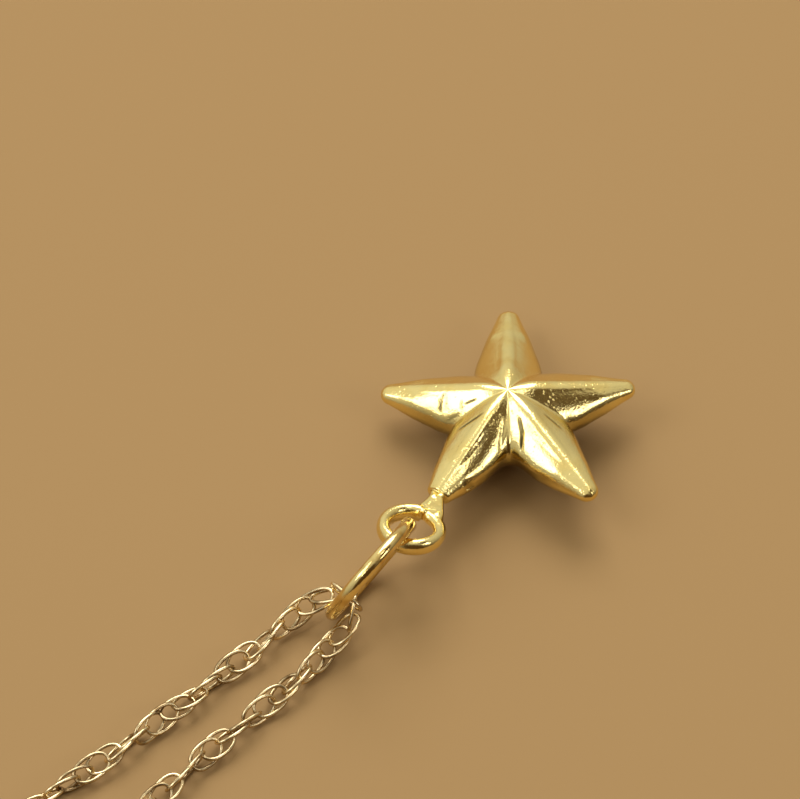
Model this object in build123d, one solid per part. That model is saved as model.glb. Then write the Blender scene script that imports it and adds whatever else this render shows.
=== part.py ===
from build123d import *

import math
import os
from collections import namedtuple

# A puffed five-point star pendant, its jump ring, its neck chain and the chain's clasp.
# Millimetres. +Z is up from the table that everything lies on. The star's loop arm
# points along -Y, towards the jump ring and the chain. The origin is the middle of the
# bottom of the whole necklace's box.

# Star
star_reach = 6.85              # centre to the end of an arm
star_half_height = 2.13        # girdle plane to the peak, the same on the front and the back
arm_root_half_width = 2.50     # half width that an arm's straight flanks reach at the centre
tip_half_width = 0.53          # where the end's rounding starts, seen from above
tip_half_height = 0.33         # girdle plane to the ridge where the end's rounding starts
tip_length = 0.57              # of the whole rounding, as half an oval from its middle
tip_start = 24                 # degrees round that oval at which the straight flanks end
ridge_radius = 0.60            # rounding along the top of an arm
girdle_radius = 0.60           # rounding along the edge between front and back
star_turn = 0.4                # degrees about +Z
star_tilt = 2.3                # degrees, the loop's side of the star stands higher
star_side_tilt = 4.7           # degrees, the +X side of the star stands higher
arm_count = 5

# Neck and loop that are soldered to the star
loop_arm_cut = 6.15            # centre to the flat end of the shortened loop arm
neck_sink = 0.55               # how far the neck runs into the arm
neck_width = 1.15              # at the loop
neck_aside = 0.64              # how far the neck's end stands beside the arm's middle line
neck_thickness = 0.62
neck_edge_radius = 0.12
bend_distance = 6.30           # star centre to where the neck bends up
neck_bend = 13.6               # degrees
loop_distance = 9.27           # star centre to loop centre, along the bent neck
loop_aside = 0.63
loop_wire = 0.69               # across the loop's wire, seen from above
loop_wire_height = 0.92
loop_outer = 3.47

# Jump ring
ring_wire = 0.70
ring_outer = 6.40
ring_lean = 21.2               # degrees from upright
ring_side = -0.20              # how far beside the loop's middle the ring passes through it
ring_ahead = 0.15              # how far beyond the loop's middle it does

# Chain, as the tube that its links fill
chain_diameter = 1.32
fold_height = 2.20             # highest point of the route, where it runs through the ring
fold_shoulder = 1.70           # height of the route's points beside the highest one

# Clasp, a plain ring with an eye for the chain's end
clasp_outer = 6.00
clasp_wire = 1.10
eye_outer = 2.00
eye_wire = 0.50
clasp_gap = 0.10               # between the clasp and each end of the chain

# One row for each section of an arm, from the centre to where the end's rounding starts.
# along is a share of the straight flanks' length, width is a share of the way from
# tip_half_width to arm_root_half_width, and crest is a share of the way from
# tip_half_height to star_half_height.
ArmSection = namedtuple("ArmSection", "along width crest")
ARM_SECTIONS = (
    ArmSection(-0.10, 1.080, 1.000),
    ArmSection(0.00, 1.000, 1.000),
    ArmSection(0.20, 0.820, 0.945),
    ArmSection(0.40, 0.660, 0.790),
    ArmSection(0.59, 0.460, 0.556),
    ArmSection(0.78, 0.262, 0.256),
    ArmSection(0.90, 0.112, 0.100),
    ArmSection(1.00, 0.000, 0.000),
)
# Degrees round an arm's end at which it has a section
TIP_TURNS = (45, 64, 78)
# A section's roundings are at most this share of its half height or half width
rounding_share = 0.85

# One row for each section of the neck, as shares of its length, neck_aside and neck_width
NeckSection = namedtuple("NeckSection", "along aside width")
NECK_SECTIONS = (
    NeckSection(0.00, 0.00, 0.61),
    NeckSection(0.24, 0.06, 0.57),
    NeckSection(0.36, 0.20, 0.57),
    NeckSection(0.51, 0.48, 0.66),
    NeckSection(0.68, 0.73, 0.82),
    NeckSection(0.83, 0.92, 0.97),
    NeckSection(1.00, 1.00, 1.00),
)

# The clasp's ring, and then its eye, on the +X side of it
eye_place = (clasp_outer + eye_outer) / 2 - eye_wire
clasp_length = clasp_outer / 2 + eye_place + eye_outer / 2

# The chain's route, in millimetres from the point of the table under the jump ring's
# centre. Each row is x, y and height of the route above the table. It starts at the
# clasp, comes up the left side, folds through the jump ring and goes down the right side.
table = chain_diameter / 2
left_end = -3.90
right_end = left_end + clasp_length + 2 * clasp_gap
CHAIN_ROUTE = (
    (left_end, -164.4, table),
    (-16.8, -162.8, table),
    (-31.0, -155.0, table),
    (-42.3, -140.0, table),
    (-46.6, -118.5, table),
    (-42.0, -95.5, table),
    (-32.0, -73.5, table),
    (-20.4, -53.0, table),
    (-11.6, -36.2, table),
    (-7.15, -23.8, table),
    (-4.72, -15.4, table),
    (-3.38, -9.30, table),
    (-2.66, -4.90, table),
    (-2.22, -2.00, fold_shoulder),
    (-0.76, -1.12, fold_height),
    (0.70, -2.00, fold_shoulder),
    (0.20, -4.75, table),
    (-0.42, -8.80, table),
    (-1.33, -14.6, table),
    (-1.60, -22.4, table),
    (1.10, -33.6, table),
    (8.20, -49.6, table),
    (18.6, -69.0, table),
    (29.9, -91.2, table),
    (38.9, -114.8, table),
    (40.4, -137.6, table),
    (31.8, -154.4, table),
    (18.0, -162.8, table),
    (right_end, -164.4, table),
)


def rounded_rhombus(half_width, half_height, top_radius, side_radius):
    """Edges of a rhombus with four rounded corners, wide along X and high along Y."""
    run = half_width - side_radius
    drop = half_height - top_radius
    length = math.hypot(run, drop)
    along = (top_radius - side_radius) / length
    across = math.sqrt(1 - along * along)
    normal_x = (along * run + across * drop) / length
    normal_y = (across * run - along * drop) / length
    top = (top_radius * normal_x, drop + top_radius * normal_y)
    side = (run + side_radius * normal_x, side_radius * normal_y)
    return [
        ThreePointArc((-top[0], top[1]), (0, half_height), top),
        Line(top, side),
        ThreePointArc(side, (half_width, 0), (side[0], -side[1])),
        Line((side[0], -side[1]), (top[0], -top[1])),
        ThreePointArc((top[0], -top[1]), (0, -half_height), (-top[0], -top[1])),
        Line((-top[0], -top[1]), (-side[0], -side[1])),
        ThreePointArc((-side[0], -side[1]), (-half_width, 0), (-side[0], side[1])),
        Line((-side[0], side[1]), (-top[0], top[1])),
    ]


def across_arm(distance, aside=0):
    """The plane across an arm that runs along +X, at this distance from the centre."""
    return Plane(origin=(distance, aside, 0), x_dir=(0, 1, 0), z_dir=(1, 0, 0))


def arm_face(distance, half_width, half_height):
    """The section of an arm at this distance from the star's centre."""
    roundest = rounding_share * min(half_width, half_height)
    edges = rounded_rhombus(
        half_width,
        half_height,
        min(ridge_radius, roundest),
        min(girdle_radius, roundest),
    )
    return across_arm(distance) * Face(Wire(edges))


def tip_distance(turn):
    """Distance from the centre to this many degrees round an arm's end."""
    return star_reach - tip_length * (1 - math.sin(math.radians(turn)))


def make_arm():
    """One arm along +X, cut to its fifth of the star."""
    straight = tip_distance(tip_start)
    faces = []
    for row in ARM_SECTIONS:
        half_width = tip_half_width + row.width * (arm_root_half_width - tip_half_width)
        half_height = tip_half_height + row.crest * (star_half_height - tip_half_height)
        faces.append(arm_face(row.along * straight, half_width, half_height))
    for turn in TIP_TURNS:
        shrink = math.cos(math.radians(turn)) / math.cos(math.radians(tip_start))
        faces.append(
            arm_face(tip_distance(turn), tip_half_width * shrink, tip_half_height * shrink)
        )
    half_turn = math.pi / arm_count
    side = 2 * star_reach
    wedge_corners = (
        (0, 0),
        (side, -side * math.tan(half_turn)),
        (side, side * math.tan(half_turn)),
    )
    wedge_base = Face(Wire(Polyline(*wedge_corners, close=True)))
    wedge = extrude(wedge_base, amount=2 * star_half_height, dir=(0, 0, 1), both=True)
    return (loft(faces) & wedge).solid()


def bent_up(distance):
    """The move that bends what lies beyond bend_distance, if this distance does."""
    if distance < bend_distance:
        return Location()
    return Pos(X=bend_distance) * Rot(Y=-neck_bend) * Pos(X=-bend_distance)


def make_neck():
    """The flat neck along +X, from inside the loop arm to the middle of the loop's wire."""
    start = loop_arm_cut - neck_sink
    end = loop_distance - (loop_outer - loop_wire) / 2
    faces = []
    for row in NECK_SECTIONS:
        distance = start + row.along * (end - start)
        width = row.width * neck_width
        outline = RectangleRounded(width, neck_thickness, neck_edge_radius).face()
        face = across_arm(distance, row.aside * neck_aside) * outline
        faces.append(bent_up(distance) * face)
    return loft(faces)


def make_star():
    """The star with its neck and loop, flat, with the loop arm along -Y."""
    arm = make_arm()
    step = 360 / arm_count
    arms = [Rot(Z=step * place) * arm for place in range(1, arm_count)]
    side = 4 * star_reach
    beyond = Pos(X=loop_arm_cut + side / 2) * Box(side, side, side)
    loop_arm = (arm - beyond).solid()
    wire = Plane.XZ * Pos(X=(loop_outer - loop_wire) / 2) * Ellipse(
        loop_wire / 2, loop_wire_height / 2
    )
    oval_ring = revolve(wire, Axis.Z)
    loop = bent_up(loop_distance) * Pos(X=loop_distance, Y=loop_aside) * oval_ring
    body = loop_arm.fuse(*arms, make_neck(), loop).clean()
    return Rot(Z=-90) * body.solid()


def make_clasp():
    """The clasp's ring with its eye on the +X side, flat, centred on the ring."""
    ring = Torus((clasp_outer - clasp_wire) / 2, clasp_wire / 2)
    eye = Pos(X=eye_place) * Torus((eye_outer - eye_wire) / 2, eye_wire / 2)
    return ring.fuse(eye).clean().solid()


def route_radii(points):
    """The largest arc that each corner's two runs allow."""
    radii = []
    for before, corner, after in zip(points, points[1:], points[2:]):
        run_in = Vector(*corner) - Vector(*before)
        run_out = Vector(*after) - Vector(*corner)
        half_turn = math.radians(run_in.get_angle(run_out)) / 2
        shorter = min(run_in.length, run_out.length)
        radii.append(0.45 * shorter / math.tan(half_turn))
    return radii


# Star, resting on its back
resting = Rot(Y=-star_side_tilt) * Rot(X=-star_tilt) * Rot(Z=star_turn)
star = resting * make_star()
girdle_height = -star.bounding_box().min.Z
star = Pos(Z=girdle_height) * star

# Where the loop's centre came to
flat_loop = bent_up(loop_distance) * Pos(X=loop_distance, Y=loop_aside)
loop_centre = (Pos(Z=girdle_height) * resting * Rot(Z=-90) * flat_loop).position

# Jump ring, upright but leaning, standing on the table and hooked through the loop
ring_radius = (ring_outer - ring_wire) / 2
ring_z = ring_radius * math.cos(math.radians(ring_lean)) + ring_wire / 2
ring_y = loop_centre.Y - ring_ahead - ring_radius
ring_x = loop_centre.X + ring_side
ring_x += (ring_z - loop_centre.Z) * math.tan(math.radians(ring_lean))
ring_turn = Rot(Y=ring_lean - 90)
jump_ring = Pos(ring_x, ring_y, ring_z) * ring_turn * Torus(ring_radius, ring_wire / 2)

# Chain, one tube along the whole route
route = [(ring_x + x, ring_y + y, height) for x, y, height in CHAIN_ROUTE]
radii = route_radii(route)
chain_path = FilletPolyline(*route, radius=radii)
chain_start = Plane(origin=route[0], z_dir=Vector(*route[1]) - Vector(*route[0]))
chain = sweep(chain_start * Circle(chain_diameter / 2), path=chain_path).solid()

# Clasp, flat on the table between the ends of the chain
clasp_x = route[0][0] + clasp_gap + clasp_outer / 2
clasp = Pos(clasp_x, route[0][1], clasp_wire / 2) * make_clasp()

print("chain length", round(chain_path.length, 1))
section_area = math.pi * chain_diameter**2 / 4
print("chain volume", round(chain.volume, 2), round(section_area * chain_path.length, 2))

# Everything is moved so that the origin is the middle of the bottom of the box
nodes = {"star": star, "jump_ring": jump_ring, "chain": chain, "clasp": clasp}
whole = Compound(list(nodes.values())).bounding_box()
to_origin = Pos(-whole.center().X, -whole.center().Y, -whole.min.Z)
print("ring centre", (to_origin * Pos(ring_x, ring_y, ring_z)).position)
os.makedirs("parts", exist_ok=True)
for name, solid in nodes.items():
    export_step(to_origin * solid, f"parts/{name}.step")
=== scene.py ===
import math

import bmesh
import bpy
import numpy as np
from mathutils import Matrix, Vector


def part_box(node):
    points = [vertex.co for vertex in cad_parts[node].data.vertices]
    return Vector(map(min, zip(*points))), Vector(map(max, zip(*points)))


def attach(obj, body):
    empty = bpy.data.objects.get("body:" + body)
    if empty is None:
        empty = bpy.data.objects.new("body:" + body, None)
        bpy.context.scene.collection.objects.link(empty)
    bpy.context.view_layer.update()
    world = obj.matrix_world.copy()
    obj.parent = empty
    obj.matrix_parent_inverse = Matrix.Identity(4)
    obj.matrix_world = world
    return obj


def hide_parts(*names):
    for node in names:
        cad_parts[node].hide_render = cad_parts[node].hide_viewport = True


# A puffed gold star pendant that lies on a table with its jump ring and rope chain.
# Lengths are written in millimetres and meshes are made in them. MM turns them to metres.

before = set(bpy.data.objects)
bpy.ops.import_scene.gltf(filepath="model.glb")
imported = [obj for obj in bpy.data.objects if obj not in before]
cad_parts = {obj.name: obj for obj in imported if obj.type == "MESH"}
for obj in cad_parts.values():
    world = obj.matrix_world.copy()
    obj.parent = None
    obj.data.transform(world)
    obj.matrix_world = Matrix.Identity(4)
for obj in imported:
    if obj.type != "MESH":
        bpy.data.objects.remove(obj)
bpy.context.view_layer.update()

MM = 0.001

# Sizes of the frame's solids
STAR_REACH = 6.85
STAR_HALF_HEIGHT = 2.13
ARM_ROOT_HALF_WIDTH = 2.50
TIP_HALF_WIDTH = 0.53
TIP_LENGTH = 0.57
TIP_START = math.radians(24)
RIDGE_RADIUS = 0.60
ROUNDING_SHARE = 0.85
STAR_TURN = math.radians(0.4)
STAR_TILT = math.radians(2.3)
STAR_SIDE_TILT = math.radians(4.7)
ARM_COUNT = 5
GIRDLE_HEIGHT = 2.156
LOOP_ARM_CUT = 6.15
LOOP_DISTANCE = 9.27
LOOP_ASIDE = 0.63
LOOP_WIRE = 0.69
LOOP_WIRE_HEIGHT = 0.92
LOOP_OUTER = 3.47
LOOP_RADIUS = (LOOP_OUTER - LOOP_WIRE) / 2
LOOP_BEND = math.radians(13.6)
BEND_DISTANCE = 6.30
RING_WIRE = 0.70
RING_OUTER = 6.40
RING_RADIUS = (RING_OUTER - RING_WIRE) / 2
RING_LEAN = math.radians(21.2)
RING_SIDE = -0.20
RING_AHEAD = 0.15
CHAIN_DIAMETER = 1.32
CLASP_OUTER = 6.00
CLASP_WIRE = 1.10
EYE_OUTER = 2.00
EYE_WIRE = 0.50

# Sizes of this star that differ from its solid's, which has 0.33 and 0.60
TIP_HALF_HEIGHT = 0.42
GIRDLE_RADIUS = 0.80

# Places, from the frame's boxes
ring_low, ring_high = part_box("jump_ring")
clasp_low, clasp_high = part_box("clasp")
ring_centre = (ring_low + ring_high) / 2
star_turn = (
    Matrix.Rotation(-STAR_SIDE_TILT, 4, "Y")
    @ Matrix.Rotation(-STAR_TILT, 4, "X")
    @ Matrix.Rotation(STAR_TURN, 4, "Z")
)
loop_rise = (LOOP_DISTANCE - BEND_DISTANCE) * math.sin(LOOP_BEND)
loop_flat = BEND_DISTANCE + (LOOP_DISTANCE - BEND_DISTANCE) * math.cos(LOOP_BEND)
loop_centre = star_turn @ Vector((LOOP_ASIDE, -loop_flat, loop_rise))
ring_rise = ring_centre.z / MM - GIRDLE_HEIGHT - loop_centre.z
star_to_ring = Vector((
    loop_centre.x + RING_SIDE + ring_rise * math.tan(RING_LEAN),
    loop_centre.y - RING_AHEAD - RING_RADIUS,
    ring_centre.z / MM - GIRDLE_HEIGHT,
))
star_centre = ring_centre - star_to_ring * MM


# Camera. The photograph is 800 x 799 pixels
IMAGE_WIDTH = 800
IMAGE_CENTRE = (400, 399.5)
STAR_PIXEL = (508.9, 416.9)
PIXELS_PER_MM = 20.0
VIEW_AZIMUTH = math.radians(36)
VIEW_ELEVATION = math.radians(53)
VIEW_DISTANCE = 350.0
SENSOR_WIDTH = 36.0


def add_camera():
    back = Vector((
        math.sin(VIEW_AZIMUTH) * math.cos(VIEW_ELEVATION),
        -math.cos(VIEW_AZIMUTH) * math.cos(VIEW_ELEVATION),
        math.sin(VIEW_ELEVATION),
    ))
    right = Vector((math.cos(VIEW_AZIMUTH), math.sin(VIEW_AZIMUTH), 0))
    up = back.cross(right)
    aside = (STAR_PIXEL[0] - IMAGE_CENTRE[0]) / PIXELS_PER_MM * MM
    below = (STAR_PIXEL[1] - IMAGE_CENTRE[1]) / PIXELS_PER_MM * MM
    aim = star_centre - right * aside + up * below
    data = bpy.data.cameras.new("camera")
    data.sensor_width = SENSOR_WIDTH
    data.lens = PIXELS_PER_MM * VIEW_DISTANCE * SENSOR_WIDTH / IMAGE_WIDTH
    data.clip_start = 0.01
    data.clip_end = 20
    camera = bpy.data.objects.new("camera", data)
    camera.matrix_world = Matrix.Translation(aim + back * VIEW_DISTANCE * MM) @ (
        Matrix((right, up, back)).transposed().to_4x4()
    )
    bpy.context.scene.collection.objects.link(camera)
    bpy.context.scene.camera = camera


def add_object(name, mesh):
    piece = bpy.data.objects.new(name, mesh)
    bpy.context.scene.collection.objects.link(piece)
    return piece


MERGE_DISTANCE = 1e-4


def mesh_from(name, points, faces):
    """A smooth-shaded mesh with near points merged, from points in millimetres."""
    mesh = bpy.data.meshes.new(name)
    mesh.from_pydata([tuple(p) for p in points], [], faces)
    work = bmesh.new()
    work.from_mesh(mesh)
    bmesh.ops.remove_doubles(work, verts=work.verts, dist=MERGE_DISTANCE)
    bmesh.ops.dissolve_degenerate(work, edges=work.edges, dist=MERGE_DISTANCE)
    bmesh.ops.recalc_face_normals(work, faces=work.faces)
    work.to_mesh(mesh)
    work.free()
    mesh.shade_smooth()
    return mesh


def append_shape(points, faces, more_points, more_faces):
    """Adds a shape's points and faces to those of a larger one."""
    start = len(points)
    points.extend(more_points)
    faces.extend([tuple(start + corner for corner in face) for face in more_faces])


def points_of(mesh):
    flat = np.empty(len(mesh.vertices) * 3, dtype=np.float32)
    mesh.vertices.foreach_get("co", flat)
    return flat.reshape(-1, 3).astype(float)


def set_points(mesh, points):
    mesh.vertices.foreach_set("co", points.astype(np.float32).ravel())
    mesh.update()


# Share of the way to its neighbours' mean that a point moves in one round of smoothing
SMOOTHING_STEP = 0.5


def smooth_points(mesh, weights, rounds):
    """Moves each point towards the mean of its neighbours, as far as its weight says."""
    points = points_of(mesh)
    edges = np.empty(len(mesh.edges) * 2, dtype=np.int32)
    mesh.edges.foreach_get("vertices", edges)
    ends = edges.reshape(-1, 2)
    first = np.concatenate((ends[:, 0], ends[:, 1]))
    other = np.concatenate((ends[:, 1], ends[:, 0]))
    degree = np.bincount(first, minlength=len(points)).astype(float)
    step = (SMOOTHING_STEP * weights)[:, None]
    for _ in range(rounds):
        mean = np.empty_like(points)
        for axis in range(3):
            total = np.bincount(first, weights=points[other, axis], minlength=len(points))
            mean[:, axis] = total / degree
        points += step * (mean - points)
    set_points(mesh, points)


def put_in_place(mesh, turn, centre):
    """Turns a mesh made in millimetres about its own origin and puts it at centre."""
    mesh.transform(Matrix.Translation(centre) @ turn @ Matrix.Scale(MM, 4))
    mesh.update()


# Star

# along: share of the way to where an arm's end is rounded. width and crest: shares of the
# way from the rounded end's half width and half height to the centre's. The widths are the
# solid's, and the crests are this star's own.
SECTION_ALONG = (-0.10, 0.00, 0.20, 0.40, 0.59, 0.78, 0.90, 1.00)
SECTION_WIDTH = (1.080, 1.000, 0.820, 0.660, 0.460, 0.262, 0.112, 0.000)
SECTION_CREST = (1.000, 1.000, 0.915, 0.700, 0.485, 0.260, 0.120, 0.000)
ARM_STRAIGHT = STAR_REACH - TIP_LENGTH * (1 - math.sin(TIP_START))

# Where each tip and each notch of this uneven star lies: the direction it would have, in
# degrees from +X, the turn away from that, and the share of its distance. The tips' turns
# and shares are the results of a fit to outline points that were read off the photograph.
HANDWORK = (
    (-90, 0.6, 1.000),
    (-54, 0.0, 0.970),
    (-18, 0.7, 1.007),
    (18, 0.0, 1.060),
    (54, -2.8, 0.958),
    (90, 0.0, 1.000),
    (126, -0.6, 1.025),
    (162, 0.0, 1.000),
    (198, 1.5, 0.972),
    (234, 0.0, 1.000),
)
# Degrees from one row to the next, and the radii between which this comes in
HANDWORK_STEP = 360 / len(HANDWORK)
HANDWORK_RADII = (0.3, 3.0)

# A flank is less steep by this beside the ridge, and steeper by it towards the girdle
FLANK_SWELL = math.radians(8)
# Beside the wide valley the ridge stands above its flank, with a steeper foot
RIDGE_FOOT_TURN = math.radians(9)
RIDGE_FOOT_WIDTH = 0.16
PLAIN_FOOT = (-FLANK_SWELL / 2, -FLANK_SWELL / 2)
# Feet on the left and right of these arms, which are counted from the loop's arm
FOOT_TURNS = {
    0: (RIDGE_FOOT_TURN, -FLANK_SWELL / 2),
    1: (-FLANK_SWELL / 2, RIDGE_FOOT_TURN),
}

ROWS_TO_NOTCH = 46
ROWS_TO_TIP = 46
ROWS_ROUND_TIP = 10
FRONT_COLUMNS = 46
BACK_COLUMNS = 20
SECTION_POINTS = 160
# The loop arm's cut end: the share of its section that is left, and how far ahead it lies
CUT_END_STEPS = ((0.97, 0.04), (0.90, 0.07), (0.6, 0.08), (0.3, 0.08), (0, 0.08))
FAR = 1e9
# Keeps the section at the very tip from having no size
SMALLEST_SHARE = 1e-6


def through_table(place, places, values):
    """A smooth curve through a table's values."""
    places = np.array(places)
    values = np.array(values)
    slopes = np.gradient(values, places)
    index = np.clip(np.searchsorted(places, place) - 1, 0, len(places) - 2)
    width = places[index + 1] - places[index]
    u = (place - places[index]) / width
    return (
        (1 + 2 * u) * (1 - u) ** 2 * values[index]
        + u * (1 - u) ** 2 * width * slopes[index]
        + u * u * (3 - 2 * u) * values[index + 1]
        + u * u * (u - 1) * width * slopes[index + 1]
    )


def arm_size(distance):
    """Half width and half height of an arm at this distance from the centre."""
    along = distance / ARM_STRAIGHT
    width = through_table(along, SECTION_ALONG, SECTION_WIDTH)
    crest = through_table(along, SECTION_ALONG, SECTION_CREST)
    return (
        TIP_HALF_WIDTH + width * (ARM_ROOT_HALF_WIDTH - TIP_HALF_WIDTH),
        TIP_HALF_HEIGHT + crest * (STAR_HALF_HEIGHT - TIP_HALF_HEIGHT),
    )


def quarter_section(half_width, half_height, foot_turn):
    """Dense points from the crest to the girdle: a ridge, a swollen flank and a rounding."""
    roundest = ROUNDING_SHARE * min(half_width, half_height)
    top = min(RIDGE_RADIUS, roundest)
    side = min(GIRDLE_RADIUS, roundest)
    run = half_width - side
    drop = half_height - top
    length = math.hypot(run, drop)
    across = math.sqrt(length * length - (top - side) ** 2)
    tangent = math.atan2((top - side) * run + across * drop, across * run - (top - side) * drop)
    foot = min(RIDGE_FOOT_WIDTH, across / 3)
    swell = min(1, across)
    lengths = (0, top * tangent, foot, across - foot, side * (math.pi / 2 - tangent))
    turns = (
        0,
        tangent + foot_turn * swell,
        tangent - FLANK_SWELL * swell,
        tangent + FLANK_SWELL * swell,
        math.pi / 2,
    )
    ends = np.cumsum(lengths)
    places = np.linspace(0, ends[-1], SECTION_POINTS)
    turn = np.interp((places[1:] + places[:-1]) / 2, ends, turns)
    x = np.concatenate(((0,), np.cumsum(np.cos(turn))))
    fall = np.concatenate(((0,), np.cumsum(np.sin(turn))))
    return np.stack((x / x[-1] * half_width, (1 - fall / fall[-1]) * half_height), 1)


def sampled(points, furthest, count):
    """count + 1 points evenly spaced along a section, which ends where x is furthest."""
    steps = np.hypot(*np.diff(points, axis=0).T)
    run = np.concatenate(((0,), np.cumsum(steps)))
    end = run[-1]
    if furthest < points[-1, 0]:
        end = np.interp(furthest, points[:, 0], run)
    places = np.linspace(0, end, count + 1)
    return np.stack([np.interp(places, run, points[:, axis]) for axis in (0, 1)], 1)


# Distances along an arm between which the notch lies, and how often that span is halved
NOTCH_SPAN = (1.0, 4.0)
HALVINGS = 40


def notch_distance():
    """Distance along an arm at which its edge meets the next arm's."""
    slope = math.tan(math.pi / ARM_COUNT)
    low, high = NOTCH_SPAN
    for _ in range(HALVINGS):
        middle = (low + high) / 2
        if arm_size(middle)[0] > middle * slope:
            low = middle
        else:
            high = middle
    return low


def arm_rows(end, columns, foot_turn):
    """Rows of an arm's quarter surface, each an array of (distance, aside, height)."""
    notch = notch_distance()
    slope = math.tan(math.pi / ARM_COUNT)
    rows = []
    inner = np.linspace(0, notch, ROWS_TO_NOTCH + 1)
    outer = np.linspace(notch, min(ARM_STRAIGHT, end), ROWS_TO_TIP + 1)[1:]
    for distance in (*inner, *outer):
        section = quarter_section(*arm_size(distance), foot_turn)
        furthest = distance * slope if distance < notch else FAR
        points = sampled(section, furthest, columns)
        rows.append(np.insert(points, 0, distance, axis=1))
    if end < ARM_STRAIGHT:
        last = rows[-1]
        for shrink, ahead in CUT_END_STEPS:
            rows.append(last * (1, shrink, shrink) + (ahead, 0, 0))
        return rows
    for turn in np.linspace(TIP_START, math.pi / 2, ROWS_ROUND_TIP + 1)[1:]:
        shrink = math.cos(turn) / math.cos(TIP_START) + SMALLEST_SHARE
        section = quarter_section(TIP_HALF_WIDTH * shrink, TIP_HALF_HEIGHT * shrink, foot_turn)
        ahead = STAR_REACH - TIP_LENGTH * (1 - math.sin(turn))
        rows.append(np.insert(sampled(section, FAR, columns), 0, ahead, axis=1))
    return rows


def arm_mesh_data(end, direction, foot_turns):
    """Points and faces of one whole arm, pointing in this direction in degrees."""
    turn = math.radians(direction)
    points = []
    faces = []
    for height, columns in ((1, FRONT_COLUMNS), (-1, BACK_COLUMNS)):
        for aside, foot_turn in zip((1, -1), foot_turns):
            rows = np.array(arm_rows(end, columns, foot_turn))
            count, width = rows.shape[:2]
            start = len(points)
            quarter = rows.reshape(-1, 3) * (1, aside, height)
            x = quarter[:, 0] * math.cos(turn) - quarter[:, 1] * math.sin(turn)
            y = quarter[:, 0] * math.sin(turn) + quarter[:, 1] * math.cos(turn)
            points.extend(np.stack((x, y, quarter[:, 2]), 1))
            for row in range(count - 1):
                for column in range(width - 1):
                    a = start + row * width + column
                    loop = (a, a + width, a + width + 1, a + 1)
                    faces.append(loop if aside * height < 0 else loop[::-1])
    return points, faces


def eased(low, high, value):
    """0 below low, 1 above high, and a smooth step between."""
    u = np.clip((value - low) / (high - low), 0, 1)
    return u * u * (3 - 2 * u)


def by_hand(points):
    """Moves tips and notches to where they lie on this uneven star."""
    radius = np.hypot(points[:, 0], points[:, 1])
    angle = np.degrees(np.arctan2(points[:, 1], points[:, 0]))
    start = HANDWORK[0][0]
    place = np.mod(angle - start, 360) / HANDWORK_STEP
    index = np.floor(place).astype(int) % len(HANDWORK)
    after = (index + 1) % len(HANDWORK)
    share = eased(0, 1, place - np.floor(place))
    turns = np.array([row[1] for row in HANDWORK])
    reaches = np.array([row[2] for row in HANDWORK])
    turn = turns[index] * (1 - share) + turns[after] * share
    reach = reaches[index] * (1 - share) + reaches[after] * share
    much = eased(*HANDWORK_RADII, radius)
    new_radius = radius * (1 + (reach - 1) * much)
    new_angle = np.radians(angle + turn * much)
    moved = points.copy()
    moved[:, 0] = new_radius * np.cos(new_angle)
    moved[:, 1] = new_radius * np.sin(new_angle)
    return moved


# Directions in degrees of the creases between the arms. The first is filled and wide.
VALLEYS = tuple(range(-54, 306, 72))
# How far beside a crease it is softened, wholly and at all, and in how many rounds
VALLEY_WIDTHS = (0.20, 0.95)
VALLEY_ROUNDS = 60
WIDE_VALLEY_WIDTHS = (0.45, 1.35)
WIDE_VALLEY_ROUNDS = 150
# Radii between which the softening of the peak fades, and its rounds
PEAK_RADII = (0.5, 1.7)
PEAK_ROUNDS = 90

# Nicks and folds in the front of the star: the two ends, half width, depth and the painted
# shade that darkens them. The ends go back to pixels that were read off the photograph.
MARKS = (
    ((-2.88, -1.36), (-2.93, -1.82), 0.08, 0.035, 1.00),
    ((-2.95, -1.62), (-2.62, -2.28), 0.10, 0.045, 1.00),
    ((-2.78, -1.40), (-2.34, -2.14), 0.07, 0.025, 0.45),
    ((-1.92, -1.34), (-1.60, -1.78), 0.09, 0.030, 0.60),
    ((-1.66, -1.52), (-1.10, -1.04), 0.07, 0.030, 0.80),
    ((-2.20, -2.36), (-1.56, -1.90), 0.14, 0.020, 0.50),
    ((1.30, -0.90), (2.00, -1.55), 0.13, 0.050, 0.80),
    ((1.80, -1.30), (2.24, -2.10), 0.13, 0.080, 1.00),
    ((0.70, -1.30), (1.36, -2.70), 0.18, 0.040, 0.25),
    ((0.85, -5.30), (1.25, -4.60), 0.18, 0.060, 0.50),
    ((-1.10, -2.90), (-0.20, -1.70), 0.12, 0.030, 0.90),
    ((2.10, 0.10), (3.30, 0.10), 0.12, 0.030, 0.60),
)


def beside_run(points, start, end):
    """Each point's distance from a straight run seen from above, and its share along it."""
    start = np.array(start)
    run = np.array(end) - start
    beyond = points[:, :2] - start
    share = np.clip(beyond @ run / (run @ run), 0, 1)
    return np.linalg.norm(beyond - share[:, None] * run, axis=1), share


def valley_nearness(points, valleys, inner, outer):
    """1 within inner of these valleys' creases, and 0 beyond outer."""
    nearest = np.full(len(points), FAR)
    for valley in valleys:
        turn = math.radians(valley)
        far = (STAR_REACH * math.cos(turn), STAR_REACH * math.sin(turn))
        nearest = np.minimum(nearest, beside_run(points, (0, 0), far)[0])
    return 1 - eased(inner, outer, nearest)


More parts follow.
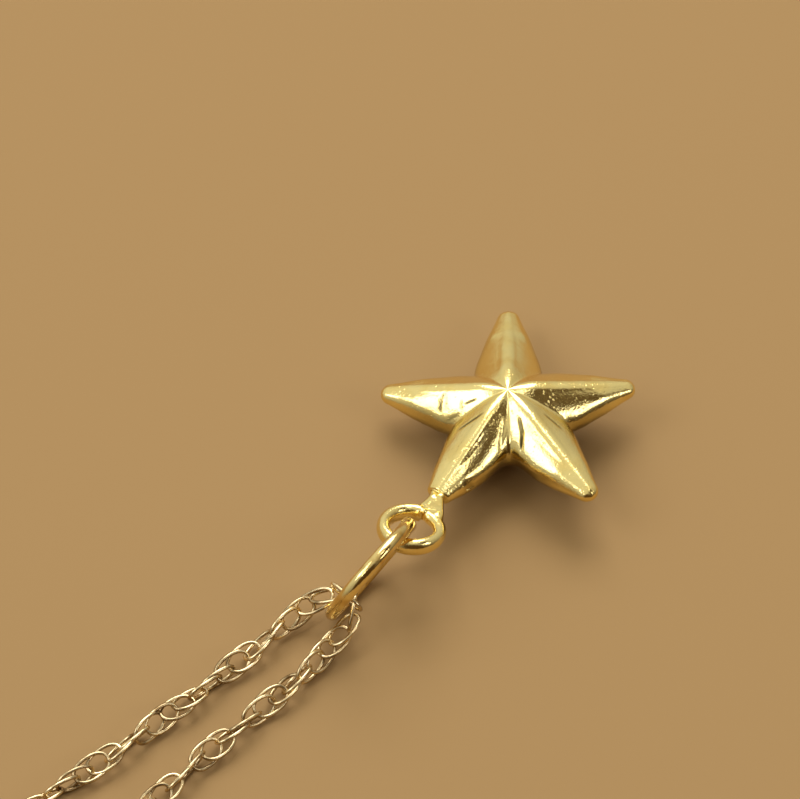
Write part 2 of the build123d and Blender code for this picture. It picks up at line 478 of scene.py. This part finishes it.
def make_star_mesh():
    points = []
    faces = []
    for place in range(ARM_COUNT):
        end = LOOP_ARM_CUT if place == 0 else STAR_REACH
        direction = -90 + 360 / ARM_COUNT * place
        arm_points, arm_faces = arm_mesh_data(end, direction, FOOT_TURNS.get(place, PLAIN_FOOT))
        append_shape(points, faces, arm_points, arm_faces)
    mesh = mesh_from("star", points, faces)
    near = valley_nearness(points_of(mesh), VALLEYS, *VALLEY_WIDTHS)
    smooth_points(mesh, near, VALLEY_ROUNDS)
    near = valley_nearness(points_of(mesh), VALLEYS[:1], *WIDE_VALLEY_WIDTHS)
    smooth_points(mesh, near, WIDE_VALLEY_ROUNDS)
    radius = np.hypot(*points_of(mesh)[:, :2].T)
    smooth_points(mesh, 1 - eased(*PEAK_RADII, radius), PEAK_ROUNDS)
    points = by_hand(points_of(mesh))
    for start, end, half_width, depth, _ in MARKS:
        points[:, 2] -= depth * mark_share(points, start, end, half_width)
    set_points(mesh, points)
    return mesh


# How quickly a mark starts and ends, and how far its painted shade spreads past it
MARK_END_FADE = 5
MARK_SHADE_SPREAD = 1.1


def mark_share(points, start, end, half_width):
    """1 along the middle of a mark in the front, fading to 0 at its edges and its ends."""
    distance, share = beside_run(points, start, end)
    fading = np.minimum(1, MARK_END_FADE * share * (1 - share))
    return (points[:, 2] > 0) * fading * (1 - eased(0, half_width, distance))


# Painted shade beside the girdle, dark as the shadowed floor's reflection there: its share, and
# the heights and radii between which it fades
GIRDLE_SHADE = 0.45
GIRDLE_SHADE_HEIGHTS = (0.20, 0.85)
GIRDLE_SHADE_RADII = (3.6, 5.8)


def add_painted_shade(mesh):
    """Keeps how much painted shade darkens each point of the star, beside the girdle and in its
    nicks, for its material.
    """
    points = points_of(mesh)
    radius = np.hypot(points[:, 0], points[:, 1])
    # Painted shade beside the girdle, standing in for the dark reflection of the shadowed floor
    painted_shade = GIRDLE_SHADE * (1 - eased(*GIRDLE_SHADE_HEIGHTS, points[:, 2]))
    painted_shade *= 1 - eased(*GIRDLE_SHADE_RADII, radius)
    # Painted shade in the nicks and folds, as dark as each mark's last column says
    for start, end, half_width, _, darkness in MARKS:
        share = mark_share(points, start, end, half_width * MARK_SHADE_SPREAD)
        painted_shade = np.maximum(painted_shade, darkness * share)
    layer = mesh.attributes.new("painted_shade", "FLOAT", "POINT")
    layer.data.foreach_set("value", painted_shade.astype(np.float32))


# Neck and loop

# Distance from the star's centre, place aside, width, thickness
NECK_STATIONS = (
    (5.60, 0.00, 0.72, 0.62),
    (6.15, 0.04, 0.74, 0.66),
    (6.42, 0.14, 0.78, 0.68),
    (6.76, 0.34, 0.92, 0.68),
    (7.15, 0.50, 1.14, 0.68),
    (7.50, 0.63, 1.40, 0.70),
    (7.88, 0.68, 1.60, 0.66),
    (8.10, 0.68, 1.20, 0.40),
)
NECK_EDGE_RADIUS = 0.14
# Degrees round the loop, from +X, between which its wire runs. It starts with a cut end
# that stands above the neck.
LOOP_WIRE_TURNS = (105, 448)
# Where its wire is flattened into the neck, and its height there
LOOP_FLAT_TURNS = (325, 395)
LOOP_FLAT_HEIGHT = 0.70
# Lumps of solder on the neck: place aside, distance, height, radius
SOLDER_LUMPS = (
    (0.46, 7.98, 0.28, 0.17),
    (0.14, 6.66, 0.27, 0.15),
    (1.10, 7.72, 0.26, 0.16),
    (0.34, 6.28, 0.20, 0.20),
    (-0.06, 6.24, 0.16, 0.17),
)
LOOP_STEPS = 120
LOOP_SIDES = 24
NECK_CORNER_POINTS = 5
LUMP_STEPS = 9
LUMP_SIDES = 12
LUMP_END = 0.98                # share of a lump's radius at which its ends are cut flat
LOOP_VOXEL = 0.036
LOOP_ROUNDS = 14


def tube_faces(count, sides, closed):
    """The faces round a tube's sections."""
    faces = []
    for index in range(count if closed else count - 1):
        for side in range(sides):
            a = index * sides + side
            b = index * sides + (side + 1) % sides
            c = (index + 1) % count * sides + (side + 1) % sides
            d = (index + 1) % count * sides + side
            faces.append((a, b, c, d))
    return faces


def tube_data(path, radii, sides, closed):
    """Points and faces of a round tube along a path of Vectors."""
    count = len(path)
    points = []
    normal = None
    for index in range(count):
        ahead = path[(index + 1) % count] if closed or index < count - 1 else path[index]
        behind = path[index - 1] if closed or index > 0 else path[index]
        tangent = (ahead - behind).normalized()
        if normal is None:
            normal = tangent.orthogonal()
        normal = (normal - tangent * normal.dot(tangent)).normalized()
        other = tangent.cross(normal)
        for side in range(sides):
            turn = 2 * math.pi * side / sides
            out = normal * math.cos(turn) + other * math.sin(turn)
            points.append(path[index] + out * float(radii[index]))
    faces = tube_faces(count, sides, closed)
    if not closed:
        faces.append(tuple(reversed(range(sides))))
        faces.append(tuple(range((count - 1) * sides, count * sides)))
    return points, faces


def make_loop_mesh():
    """The neck and the loop, fused as solder does it, with the loop arm along -Y."""
    centre = Vector((LOOP_ASIDE, -LOOP_DISTANCE, 0))
    path = []
    turns = np.linspace(*LOOP_WIRE_TURNS, LOOP_STEPS)
    for turn in np.radians(turns):
        path.append(centre + LOOP_RADIUS * Vector((math.cos(turn), math.sin(turn), 0)))
    points, faces = tube_data(path, [LOOP_WIRE / 2] * len(path), LOOP_SIDES, False)
    flatness = eased(*LOOP_FLAT_TURNS, turns)
    heights = LOOP_WIRE_HEIGHT + flatness * (LOOP_FLAT_HEIGHT - LOOP_WIRE_HEIGHT)
    for index, point in enumerate(points):
        point.z *= heights[index // LOOP_SIDES] / LOOP_WIRE
    start = len(points)
    corner_turns = np.linspace(0, math.pi / 2, NECK_CORNER_POINTS)
    for distance, aside, width, thickness in NECK_STATIONS:
        for quarter, (side, up) in enumerate(((1, 1), (-1, 1), (-1, -1), (1, -1))):
            for turn in corner_turns:
                angle = turn + quarter * math.pi / 2
                x = aside + side * (width / 2 - NECK_EDGE_RADIUS)
                z = up * (thickness / 2 - NECK_EDGE_RADIUS)
                x += NECK_EDGE_RADIUS * math.cos(angle)
                z += NECK_EDGE_RADIUS * math.sin(angle)
                points.append(Vector((x, -distance, z)))
    around = 4 * len(corner_turns)
    for station in range(len(NECK_STATIONS) - 1):
        for place in range(around):
            a = start + station * around + place
            b = start + station * around + (place + 1) % around
            faces.append((a, a + around, b + around, b))
    faces.append(tuple(range(start, start + around)))
    last = start + (len(NECK_STATIONS) - 1) * around
    faces.append(tuple(reversed(range(last, last + around))))
    for aside, distance, height, radius in SOLDER_LUMPS:
        steps = np.linspace(-LUMP_END, LUMP_END, LUMP_STEPS)
        path = [Vector((aside + radius * step, -distance, height)) for step in steps]
        lump_radii = [radius * math.sqrt(1 - step * step) for step in steps]
        append_shape(points, faces, *tube_data(path, lump_radii, LUMP_SIDES, False))
    return mesh_from("loop", [bent(point) for point in points], faces)


def bent(point):
    """Raises what lies beyond the neck's bend."""
    beyond = -point[1] - BEND_DISTANCE
    if beyond < 0:
        return point
    return Vector((
        point[0],
        -BEND_DISTANCE - beyond * math.cos(LOOP_BEND) + point[2] * math.sin(LOOP_BEND),
        beyond * math.sin(LOOP_BEND) + point[2] * math.cos(LOOP_BEND),
    ))


def remeshed(mesh, voxel, rounds):
    """A new mesh of the solid's outside, with its joints softened."""
    piece = add_object("remesh", mesh)
    remesh = piece.modifiers.new("remesh", "REMESH")
    remesh.mode = "VOXEL"
    remesh.voxel_size = voxel
    remesh.use_smooth_shade = True
    result = with_modifiers(piece)
    smooth_points(result, np.ones(len(result.vertices)), rounds)
    return result


def with_modifiers(piece):
    """The mesh that an object's modifiers make of it. The object is removed."""
    graph = bpy.context.evaluated_depsgraph_get()
    result = bpy.data.meshes.new_from_object(piece.evaluated_get(graph))
    bpy.data.objects.remove(piece)
    return result


def united(first, second):
    """The union of two closed meshes."""
    base = add_object("base", first)
    tool = add_object("tool", second)
    union = base.modifiers.new("union", "BOOLEAN")
    union.operation = "UNION"
    union.solver = "EXACT"
    union.object = tool
    result = with_modifiers(base)
    bpy.data.objects.remove(tool)
    return result


def make_star():
    loop = remeshed(make_loop_mesh(), LOOP_VOXEL, LOOP_ROUNDS)
    mesh = united(make_star_mesh(), loop)
    mesh.shade_smooth()
    add_painted_shade(mesh)
    put_in_place(mesh, star_turn, star_centre)
    mesh.materials.clear()
    metal = gold(
        "star_gold", (0.95, 0.78, 0.32), (0.92, 0.71, 0.25),
        roughness=0.145, grain=0.52, pits=0.60,
    )
    # The metal is darkened to this colour where its mesh holds painted shade: beside the girdle
    # and in the nicks
    mesh.materials.append(shade_painted(metal, (0.020, 0.012, 0.004), 0.55))
    star = add_object("star_body", mesh)
    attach(star, "root")
    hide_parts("star")


# Jump ring

# Lumps where the ring was closed with solder: degrees round it from the star's side,
# degrees round its wire from outside, width in degrees round the ring, and height
RING_LUMPS = (
    (34, -60, 6, 0.090),
    (20, 10, 7, 0.070),
    (6, -80, 6, 0.085),
    (-10, -40, 7, 0.070),
    (-24, -90, 6, 0.040),
)
RING_LUMP_ROLL = 65            # its width in degrees round the wire
RING_STEPS = 300
RING_SIDES = 40


def lump_height(turn, roll):
    """How far the solder stands out of the ring's wire, at these degrees."""
    height = 0
    for lump_turn, lump_roll, width, most in RING_LUMPS:
        around = (turn - lump_turn + 180) % 360 - 180
        beside = (roll - lump_roll + 180) % 360 - 180
        height += most * math.exp(-(around / width) ** 2 - (beside / RING_LUMP_ROLL) ** 2)
    return height


def make_jump_ring():
    points = []
    for index in range(RING_STEPS):
        turn = 2 * math.pi * index / RING_STEPS
        out = Vector((0, math.cos(turn), math.sin(turn)))
        for side in range(RING_SIDES):
            roll = 2 * math.pi * side / RING_SIDES
            radius = RING_WIRE / 2 + lump_height(math.degrees(turn), math.degrees(roll))
            points.append(
                out * (RING_RADIUS + radius * math.cos(roll))
                + Vector((radius * math.sin(roll), 0, 0))
            )
    mesh = mesh_from("jump_ring", points, tube_faces(RING_STEPS, RING_SIDES, True))
    put_in_place(mesh, Matrix.Rotation(RING_LEAN, 4, "Y"), ring_centre)
    metal = gold(
        "ring_gold", (0.95, 0.76, 0.32), (0.62, 0.40, 0.11),
        roughness=0.09, grain=0.20, pits=0.15,
    )
    mesh.materials.append(scratched(metal, 0.45))
    ring = add_object("jump_ring_wire", mesh)
    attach(ring, "root")
    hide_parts("jump_ring")


# Chain

TABLE = CHAIN_DIAMETER / 2
LEFT_END = -3.90
RIGHT_END = 3.55
# The chain's route, in millimetres from the point of the table under the jump ring's
# centre. Its fold is a little tighter than that of the solid tube, which has to clear the
# ring.
CHAIN_ROUTE = (
    (LEFT_END, -164.4, TABLE),
    (-16.8, -162.8, TABLE),
    (-31.0, -155.0, TABLE),
    (-42.3, -140.0, TABLE),
    (-46.6, -118.5, TABLE),
    (-42.0, -95.5, TABLE),
    (-32.0, -73.5, TABLE),
    (-20.4, -53.0, TABLE),
    (-11.6, -36.2, TABLE),
    (-7.15, -23.8, TABLE),
    (-4.72, -15.4, TABLE),
    (-3.38, -9.30, TABLE),
    (-2.72, -5.60, TABLE),
    (-2.32, -3.20, 0.80),
    (-1.75, -1.80, 1.35),
    (-0.45, -1.25, 2.10),
    (0.32, -1.75, 1.40),
    (0.22, -3.20, 0.78),
    (0.10, -5.40, TABLE),
    (-0.42, -8.80, TABLE),
    (-1.33, -14.6, TABLE),
    (-1.60, -22.4, TABLE),
    (1.10, -33.6, TABLE),
    (8.20, -49.6, TABLE),
    (18.6, -69.0, TABLE),
    (29.9, -91.2, TABLE),
    (38.9, -114.8, TABLE),
    (40.4, -137.6, TABLE),
    (31.8, -154.4, TABLE),
    (18.0, -162.8, TABLE),
    (RIGHT_END, -164.4, TABLE),
)
LINK_PITCH = 0.9
PAIR_PITCH = 0.80              # between the two links of a pair, which lie more alike
PAIR_LIKENESS = 0.35
LINK_HALF_LENGTH = 0.97        # of the wire's middle line
LINK_HALF_WIDTH = 0.56
LINK_FULLNESS = 0.88           # 1 for an ellipse, and less for fuller ends
LINK_WIRE = 0.20
LINK_TILT = math.radians(7)
# How much a link's tilt and its roll vary, by chance
TILT_SPREAD = 0.4
ROLL_SPREAD = math.radians(4)
RANDOM_SEED = 7
# Points along a link's wire near the fold, within this distance of it, and further away
CLOSE_DISTANCE = 60
CLOSE_SEGMENTS = 40
FAR_SEGMENTS = 24
LINK_SIDES = 6
# Length of route that holds no link, and how far ahead and behind its direction is read
BARE_LENGTH = 0.4
DIRECTION_REACH = 0.5
ROUTE_RESOLUTION = 48
# Roll of the link in the fold, and how far each millimetre of chain rolls on the way to
# the fold and away from it
FOLD_ROLL = math.radians(119)
ROLL_BEFORE = math.radians(-39)
ROLL_AFTER = math.radians(-45)


def route_line():
    """Points along the smooth line of the chain's route, in metres."""
    data = bpy.data.curves.new("route", "CURVE")
    data.dimensions = "3D"
    spline = data.splines.new("NURBS")
    spline.points.add(len(CHAIN_ROUTE) - 1)
    for point, (x, y, z) in zip(spline.points, CHAIN_ROUTE):
        point.co = (ring_centre.x + x * MM, ring_centre.y + y * MM, z * MM, 1)
    spline.order_u = 3
    spline.use_endpoint_u = True
    spline.resolution_u = ROUTE_RESOLUTION
    curve = add_object("route", data)
    line = with_modifiers(curve)
    points = points_of(line)
    bpy.data.meshes.remove(line)
    bpy.data.curves.remove(data)
    return points


def link_data(segments, sides):
    """Points and faces of one oval link, long along X and wide along Y."""
    path = []
    for turn in np.linspace(0, 2 * math.pi, segments, endpoint=False):
        x = math.copysign(abs(math.cos(turn)) ** LINK_FULLNESS, math.cos(turn))
        y = math.copysign(abs(math.sin(turn)) ** LINK_FULLNESS, math.sin(turn))
        path.append(Vector((LINK_HALF_LENGTH * x, LINK_HALF_WIDTH * y, 0)))
    points, faces = tube_data(path, [LINK_WIRE / 2] * segments, sides, True)
    return np.array([tuple(p) for p in points]), faces


def along_line(line, run, place):
    """The point of a line at this distance along it."""
    return Vector([np.interp(place, run, line[:, axis]) for axis in range(3)])


def make_chain():
    line = route_line()
    steps = np.linalg.norm(np.diff(line, axis=0), axis=1)
    run = np.concatenate(((0,), np.cumsum(steps)))
    length = run[-1]
    count = int(round((length / MM - BARE_LENGTH) / LINK_PITCH))
    places = (np.arange(count) + 0.5) * length / count
    fold = run[np.argmax(line[:, 2])]
    fold_index = int(np.argmin(np.abs(places - fold)))
    places += fold - places[fold_index]
    close_link = link_data(CLOSE_SEGMENTS, LINK_SIDES)
    far_link = link_data(FAR_SEGMENTS, LINK_SIDES)
    random = np.random.default_rng(RANDOM_SEED)
    up = Vector((0, 0, 1))
    points = []
    faces = []
    pitch = places[1] - places[0]
    for index in range(count):
        pair_place = fold + (2 * ((index - fold_index) // 2) + 0.5) * pitch
        ahead_share = 0.5 if (index - fold_index) % 2 else -0.5
        place = pair_place + ahead_share * PAIR_PITCH * MM
        centre = along_line(line, run, place)
        ahead = along_line(line, run, place + DIRECTION_REACH * MM)
        behind = along_line(line, run, place - DIRECTION_REACH * MM)
        along = (ahead - behind).normalized()
        side = up.cross(along).normalized()
        lift = along.cross(side)
        beyond = (PAIR_LIKENESS * pair_place + (1 - PAIR_LIKENESS) * place - fold) / MM
        roll = FOLD_ROLL + beyond * (ROLL_AFTER if beyond > 0 else ROLL_BEFORE)
        roll += random.normal(0, ROLL_SPREAD)
        wide = side * math.cos(roll) + lift * math.sin(roll)
        flat = along.cross(wide)
        tilt = LINK_TILT * (1 + TILT_SPREAD * random.normal())
        along_tilted = along * math.cos(tilt) + flat * math.sin(tilt)
        flat = along_tilted.cross(wide)
        close = abs(place - fold) < CLOSE_DISTANCE * MM
        shape, link_faces = close_link if close else far_link
        turn = np.array((along_tilted, wide, flat))
        append_shape(points, faces, shape @ turn * MM + np.array(centre), link_faces)
    mesh = bpy.data.meshes.new("chain")
    mesh.from_pydata([tuple(p) for p in points], [], faces)
    mesh.shade_smooth()
    mesh.materials.append(gold(
        "chain_gold", (0.84, 0.67, 0.38), (0.22, 0.14, 0.06),
        roughness=0.22, grain=0.20, pits=0.15,
    ))
    chain = add_object("chain_links", mesh)
    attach(chain, "root")
    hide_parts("chain")


# Clasp

# The thinner tongue that the clasp opens with, in degrees round it from its eye, and the
# small lever that draws it back
TONGUE_START = 22
TONGUE_END = 58
TONGUE_WIRE = 0.72
TONGUE_STEP = 2                # degrees in which the wire thins and thickens again
LEVER_TURN = 78
LEVER_ASIDE = 0.1              # outwards from the middle of the wire
# Heights of the lever's sections above the middle of the wire, and their radii
LEVER_HEIGHTS = (0.2, 0.62, 0.80, 0.88)
LEVER_RADII = (0.30, 0.30, 0.26, 0.14)
CLASP_STEPS = 96
CLASP_SIDES = 20
EYE_STEPS = 48
EYE_SIDES = 14
LEVER_SIDES = 16
CLASP_VOXEL = 0.06
CLASP_ROUNDS = 4


def circle(centre, radius, steps):
    """Points round a flat circle, from its +X side."""
    return [
        centre + radius * Vector((math.cos(turn), math.sin(turn), 0))
        for turn in np.linspace(0, 2 * math.pi, steps, endpoint=False)
    ]


def make_clasp():
    body_radius = (CLASP_OUTER - CLASP_WIRE) / 2
    body = circle(Vector((0, 0, 0)), body_radius, CLASP_STEPS)
    turns = np.linspace(0, 360, CLASP_STEPS, endpoint=False)
    inside = eased(TONGUE_START - TONGUE_STEP, TONGUE_START, turns)
    inside *= 1 - eased(TONGUE_END, TONGUE_END + TONGUE_STEP, turns)
    radii = CLASP_WIRE / 2 + inside * (TONGUE_WIRE - CLASP_WIRE) / 2
    points, faces = tube_data(body, radii, CLASP_SIDES, True)
    eye_place = (CLASP_OUTER + EYE_OUTER) / 2 - EYE_WIRE
    eye = circle(Vector((eye_place, 0, 0)), (EYE_OUTER - EYE_WIRE) / 2, EYE_STEPS)
    append_shape(points, faces, *tube_data(eye, [EYE_WIRE / 2] * EYE_STEPS, EYE_SIDES, True))
    lever_turn = math.radians(LEVER_TURN)
    foot = (body_radius + LEVER_ASIDE) * Vector((math.cos(lever_turn), math.sin(lever_turn), 0))
    lever = [foot + Vector((0, 0, height)) for height in LEVER_HEIGHTS]
    append_shape(points, faces, *tube_data(lever, LEVER_RADII, LEVER_SIDES, False))
    mesh = remeshed(mesh_from("clasp", points, faces), CLASP_VOXEL, CLASP_ROUNDS)
    centre = Vector((
        clasp_low.x + CLASP_OUTER / 2 * MM,
        (clasp_low.y + clasp_high.y) / 2,
        CLASP_WIRE / 2 * MM,
    ))
    put_in_place(mesh, Matrix.Identity(4), centre)
    mesh.materials.clear()
    mesh.materials.append(gold(
        "clasp_gold", (0.88, 0.76, 0.50), (0.55, 0.41, 0.23),
        roughness=0.18, grain=0.20, pits=0.15,
    ))
    clasp = add_object("clasp_ring", mesh)
    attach(clasp, "root")
    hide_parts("clasp")


# Materials

def node_of(tree, kind, **values):
    """A new node with these input values, whose names have _ for each space."""
    node = tree.nodes.new(kind)
    for name, value in values.items():
        node.inputs[name.replace("_", " ")].default_value = value
    return node


def range_of(tree, source, low, high, to_low, to_high):
    """A socket that maps low to high onto to_low to to_high, and stays between them."""
    node = node_of(
        tree, "ShaderNodeMapRange",
        From_Min=low, From_Max=high, To_Min=to_low, To_Max=to_high,
    )
    tree.links.new(source, node.inputs["Value"])
    return node.outputs["Result"]


def noise_of(tree, place, scale, detail, stretch=None):
    """The value of a noise with scale waves to the metre, turned and stretched if asked."""
    node = node_of(tree, "ShaderNodeTexNoise", Scale=scale, Detail=detail)
    if stretch:
        mapping = node_of(tree, "ShaderNodeMapping")
        mapping.inputs["Rotation"].default_value = stretch[0]
        mapping.inputs["Scale"].default_value = stretch[1]
        tree.links.new(place, mapping.inputs["Vector"])
        place = mapping.outputs["Vector"]
    tree.links.new(place, node.inputs["Vector"])
    return node.outputs["Fac"]


def mixed_colour(tree, share, first, second):
    """A socket that mixes two colours, given as tuples or as sockets."""
    node = tree.nodes.new("ShaderNodeMix")
    node.data_type = "RGBA"
    tree.links.new(share, node.inputs["Factor"])
    for name, colour in (("A", first), ("B", second)):
        sockets = [socket for socket in node.inputs if socket.name == name]
        socket = [socket for socket in sockets if socket.type == "RGBA"][0]
        if isinstance(colour, tuple):
            socket.default_value = (*colour, 1)
        else:
            tree.links.new(colour, socket)
    return [socket for socket in node.outputs if socket.type == "RGBA"][0]


def bumped(tree, height, distance, strength, normal=None):
    """A normal that is bumped by this height, distance millimetres deep."""
    node = node_of(tree, "ShaderNodeBump", Distance=distance * MM)
    if isinstance(strength, float):
        node.inputs["Strength"].default_value = strength
    else:
        tree.links.new(strength, node.inputs["Strength"])
    tree.links.new(height, node.inputs["Height"])
    if normal:
        tree.links.new(normal, node.inputs["Normal"])
    return node.outputs["Normal"]


# Waves to the metre of the metal's patches, of its waved skin, its fine grain and its pits
PATCH_SCALE = 900
WAVE_SCALE = 2600
GRAIN_SCALE = 9000
PIT_SCALE = 4200
# How deep these are, and scratches
WAVE_DEPTH = 0.030
GRAIN_DEPTH = 0.017
PIT_DEPTH = 0.014
SCRATCH_DEPTH = 0.016
# Turn of the scratches, and their waves to the metre along each axis
SCRATCH_TURN = (0, 0, 0.12)
SCRATCH_SCALES = (9000, 500, 9000)


def gold(name, colour, tarnish, roughness, grain, pits):
    """Plated metal with a waved, grainy skin, small pits and darker patches."""
    material = bpy.data.materials.new(name)
    material.use_nodes = True
    tree = material.node_tree
    shader = tree.nodes["Principled BSDF"]
    shader.inputs["Metallic"].default_value = 1
    place = tree.nodes.new("ShaderNodeTexCoord").outputs["Object"]
    patches = noise_of(tree, place, PATCH_SCALE, 3)
    fine = noise_of(tree, place, GRAIN_SCALE, 3)
    waves = noise_of(tree, place, WAVE_SCALE, 2)
    share = range_of(tree, patches, 0.42, 0.68, 0, 1)
    tree.links.new(mixed_colour(tree, share, colour, tarnish), shader.inputs["Base Color"])
    tree.links.new(
        range_of(tree, patches, 0.3, 0.7, roughness * 0.8, roughness * 1.3),
        shader.inputs["Roughness"],
    )
    holes = node_of(tree, "ShaderNodeTexVoronoi", Scale=PIT_SCALE, Randomness=1)
    tree.links.new(place, holes.inputs["Vector"])
    hole = range_of(tree, holes.outputs["Distance"], 0.10, 0.24, 0, 1)
    waved = range_of(tree, patches, 0.38, 0.62, 0.1 * grain, grain)
    normal = bumped(tree, waves, WAVE_DEPTH, waved)
    normal = bumped(tree, fine, GRAIN_DEPTH, grain, normal)
    pitted = range_of(tree, patches, 0.35, 0.60, 0.2 * pits, pits)
    normal = bumped(tree, hole, PIT_DEPTH, pitted, normal)
    tree.links.new(normal, shader.inputs["Normal"])
    return material


def scratched(material, strength):
    """Adds fine scratches that run along Y."""
    tree = material.node_tree
    shader = tree.nodes["Principled BSDF"]
    place = tree.nodes.new("ShaderNodeTexCoord").outputs["Object"]
    lines = noise_of(tree, place, 1, 4, (SCRATCH_TURN, SCRATCH_SCALES))
    normal = shader.inputs["Normal"].links[0].from_socket
    normal = bumped(tree, lines, SCRATCH_DEPTH, strength, normal)
    tree.links.new(normal, shader.inputs["Normal"])
    return material


def shade_painted(material, colour, roughness):
    """Darkens the metal to this colour as painted shade, and dulls it, where its mesh has
    painted shade.
    """
    tree = material.node_tree
    shader = tree.nodes["Principled BSDF"]
    attribute = tree.nodes.new("ShaderNodeAttribute")
    attribute.attribute_name = "painted_shade"
    unshaded = shader.inputs["Base Color"].links[0].from_socket
    shaded = mixed_colour(tree, attribute.outputs["Fac"], unshaded, colour)
    tree.links.new(shaded, shader.inputs["Base Color"])
    smooth = shader.inputs["Roughness"].links[0].from_socket
    dull = range_of(tree, attribute.outputs["Fac"], 0.3, 1, 0, roughness)
    total = tree.nodes.new("ShaderNodeMath")
    total.operation = "MAXIMUM"
    tree.links.new(smooth, total.inputs[0])
    tree.links.new(dull, total.inputs[1])
    tree.links.new(total.outputs["Value"], shader.inputs["Roughness"])
    return material


# Floor and light

FLOOR_COLOUR = (0.34, 0.205, 0.074)
FLOOR_ROUGHNESS = 0.85
FLOOR_HALF = 1.5               # in metres


def add_floor():
    mesh = bpy.data.meshes.new("floor")
    half = FLOOR_HALF
    mesh.from_pydata(
        [(-half, -half, 0), (half, -half, 0), (half, half, 0), (-half, half, 0)],
        [],
        [(0, 1, 2, 3)],
    )
    material = bpy.data.materials.new("floor")
    material.use_nodes = True
    shader = material.node_tree.nodes["Principled BSDF"]
    shader.inputs["Base Color"].default_value = (*FLOOR_COLOUR, 1)
    shader.inputs["Roughness"].default_value = FLOOR_ROUGHNESS
    mesh.materials.append(material)
    add_object("floor", mesh)


def direction(azimuth, elevation):
    """Towards this side of the star. Azimuth 0 is -Y and 90 is +X."""
    turn = math.radians(azimuth)
    height = math.radians(elevation)
    return Vector((
        math.sin(turn) * math.cos(height),
        -math.cos(turn) * math.cos(height),
        math.sin(height),
    ))


# Each light's name, azimuth, elevation, size in metres, power and colour
LIGHT_DISTANCE = 0.6
LIGHTS = (
    ("lamp", -143, 52, 0.38, 2.4, (1, 0.98, 0.97)),
    ("window", -47, 47, 0.30, 0.78, (0.97, 0.98, 1.04)),
    ("side", 103, 35, 0.19, 0.38, (0.98, 0.98, 1)),
    ("top", 118, 74, 0.10, 0.10, (0.98, 0.98, 1)),
    ("front", 8, 48, 0.12, 0.14, (0.98, 0.98, 1)),
)


def add_light(name, azimuth, elevation, size, power, colour):
    """A square soft light that looks at the star from this direction."""
    away = direction(azimuth, elevation)
    data = bpy.data.lights.new(name, "AREA")
    data.shape = "SQUARE"
    data.size = size
    data.energy = power
    data.color = colour
    light = bpy.data.objects.new(name, data)
    light.location = star_centre + away * LIGHT_DISTANCE
    light.rotation_euler = away.to_track_quat("Z", "Y").to_euler()
    light.visible_camera = False
    bpy.context.scene.collection.objects.link(light)


# Light of the room on its bright side and away from it
BRIGHT_ROOM = (0.86, 0.83, 0.74)
DARK_ROOM = (0.070, 0.036, 0.010)
BRIGHT_SIDE = direction(-110, 55)
# Places in it that are dimmer: where, the cosines between which they fade, and the light left
DIM_PLACES = (
    (direction(118, 54), 0.950, 0.980, 0.03),
    (direction(45, 24), 0.77, 0.90, 0.04),
)


def nearness_to(tree, place, towards):
    """The cosine of the angle between a place of the room and this direction."""
    node = tree.nodes.new("ShaderNodeVectorMath")
    node.operation = "DOT_PRODUCT"
    node.inputs[1].default_value = towards
    tree.links.new(place, node.inputs[0])
    return node.outputs["Value"]


def add_room():
    """Soft light that is brightest overhead and behind, with dim places."""
    world = bpy.data.worlds.new("world")
    world.use_nodes = True
    tree = world.node_tree
    place = tree.nodes.new("ShaderNodeTexCoord").outputs["Generated"]
    share = range_of(tree, nearness_to(tree, place, BRIGHT_SIDE), -0.5, 1, 0, 1)
    for towards, low, high, left in DIM_PLACES:
        product = tree.nodes.new("ShaderNodeMath")
        product.operation = "MULTIPLY"
        dim = range_of(tree, nearness_to(tree, place, towards), low, high, 1, left)
        tree.links.new(share, product.inputs[0])
        tree.links.new(dim, product.inputs[1])
        share = product.outputs["Value"]
    colour = mixed_colour(tree, share, DARK_ROOM, BRIGHT_ROOM)
    tree.links.new(colour, tree.nodes["Background"].inputs["Color"])
    bpy.context.scene.world = world


def add_lights():
    for light in LIGHTS:
        add_light(*light)
    add_room()


make_star()
make_jump_ring()
make_chain()
make_clasp()
add_floor()
add_lights()
add_camera()
bpy.context.scene.view_settings.view_transform = "Standard"
